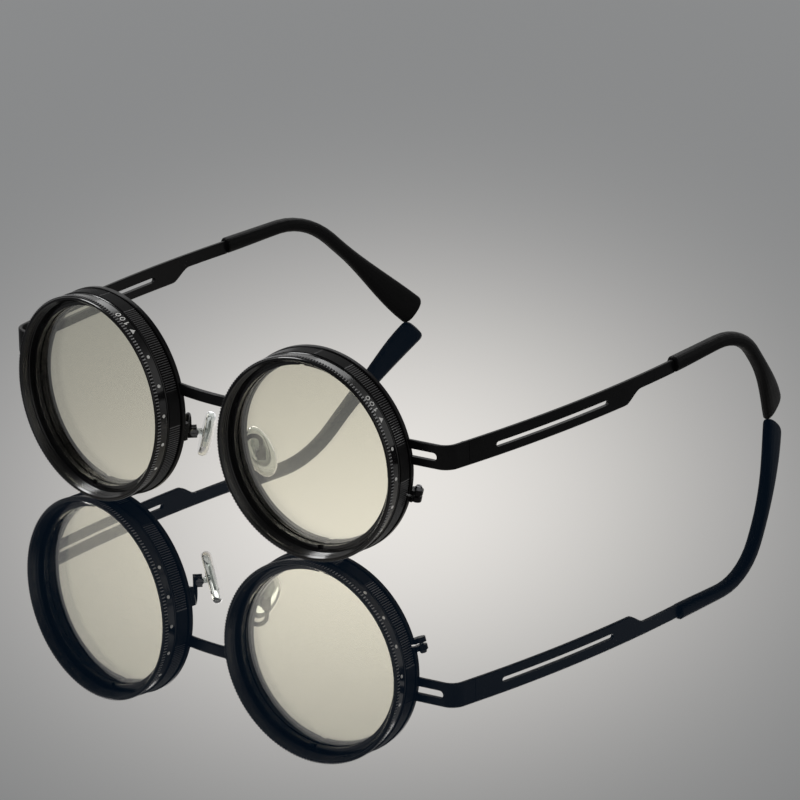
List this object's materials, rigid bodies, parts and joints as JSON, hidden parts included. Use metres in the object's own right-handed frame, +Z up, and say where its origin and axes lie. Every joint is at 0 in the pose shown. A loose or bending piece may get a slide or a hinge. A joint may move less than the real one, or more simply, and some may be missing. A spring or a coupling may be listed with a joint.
{
  "type": "adjustable tint sunglasses",
  "caption": "Folding sunglasses with round turning polarizer rings on a slim metal frame, with slotted temples, curved tips and clear nose pads.",
  "frame": {"origin": "on the ground, under the middle of the whole object", "axes": "+X to the wearer's left, -Y the way the lenses look, +Z up"},
  "size_m": [0.148, 0.1496, 0.0514],
  "materials": {
    "anodised_ring": "satin black anodised",
    "black_metal": "satin black",
    "spring_steel": "spring wire",
    "screw_steel": "blackened",
    "tint_lens": "polished, neutral polarizing tint",
    "tip_plastic": "soft matte black",
    "clear_silicone": "clear silicone",
    "pad_plastic": "clear"
  },
  "bodies": {
    "frame": {"bridge": "black_metal", "left_eyewire": "black_metal", "left_rim_screw": "screw_steel", "left_filter_body": "anodised_ring", "left_snap_wire": "spring_steel", "left_rear_polarizer": "tint_lens", "left_rear_retainer": "anodised_ring", "left_endpiece": "black_metal", "left_front_hinge": "black_metal", "left_hinge_screw": "screw_steel", "left_pad_arm": "black_metal", "left_pad_screw": "screw_steel", "right_eyewire": "black_metal", "right_rim_screw": "screw_steel", "right_filter_body": "anodised_ring", "right_snap_wire": "spring_steel", "right_rear_polarizer": "tint_lens", "right_rear_retainer": "anodised_ring", "right_endpiece": "black_metal", "right_front_hinge": "black_metal", "right_hinge_screw": "screw_steel", "right_pad_arm": "black_metal", "right_pad_screw": "screw_steel"},
    "left_tint": {"left_tint_ring": "anodised_ring", "left_front_polarizer": "tint_lens", "left_front_retainer": "anodised_ring"},
    "left_temple_arm": {"left_temple": "black_metal", "left_temple_hinge": "black_metal", "left_temple_tip": "tip_plastic"},
    "left_pad": {"left_nose_pad": "clear_silicone", "left_pad_core": "pad_plastic"},
    "right_tint": {"right_tint_ring": "anodised_ring", "right_front_polarizer": "tint_lens", "right_front_retainer": "anodised_ring"},
    "right_temple_arm": {"right_temple": "black_metal", "right_temple_hinge": "black_metal", "right_temple_tip": "tip_plastic"},
    "right_pad": {"right_nose_pad": "clear_silicone", "right_pad_core": "pad_plastic"}
  },
  "joints": [
    {"name": "left_tint_turn", "type": "hinge", "parent": "frame", "child": "left_tint", "pos_m": [0.03449, -0.06918, 0.0257], "axis": [-0.1045, 0.9945, 0], "continuous": true},
    {"name": "right_tint_turn", "type": "hinge", "parent": "frame", "child": "right_tint", "pos_m": [-0.03449, -0.06918, 0.0257], "axis": [0.1045, 0.9945, 0], "continuous": true},
    {"name": "left_temple_fold", "type": "hinge", "parent": "frame", "child": "left_temple_arm", "pos_m": [0.0686, -0.05333, 0.0299], "axis": [0, 0, 1], "range_deg": [0, 86]},
    {"name": "right_temple_fold", "type": "hinge", "parent": "frame", "child": "right_temple_arm", "pos_m": [-0.0686, -0.05333, 0.0299], "axis": [0, 0, -1], "range_deg": [0, 76]},
    {"name": "left_pad_rock", "type": "hinge", "parent": "frame", "child": "left_pad", "pos_m": [0.0114, -0.06016, 0.0191], "axis": [0.7071, 0.7071, 0], "range_deg": [-10, 10]},
    {"name": "right_pad_rock", "type": "hinge", "parent": "frame", "child": "right_pad", "pos_m": [-0.0114, -0.06016, 0.0191], "axis": [-0.7071, 0.7071, 0], "range_deg": [-10, 10]}
  ]
}
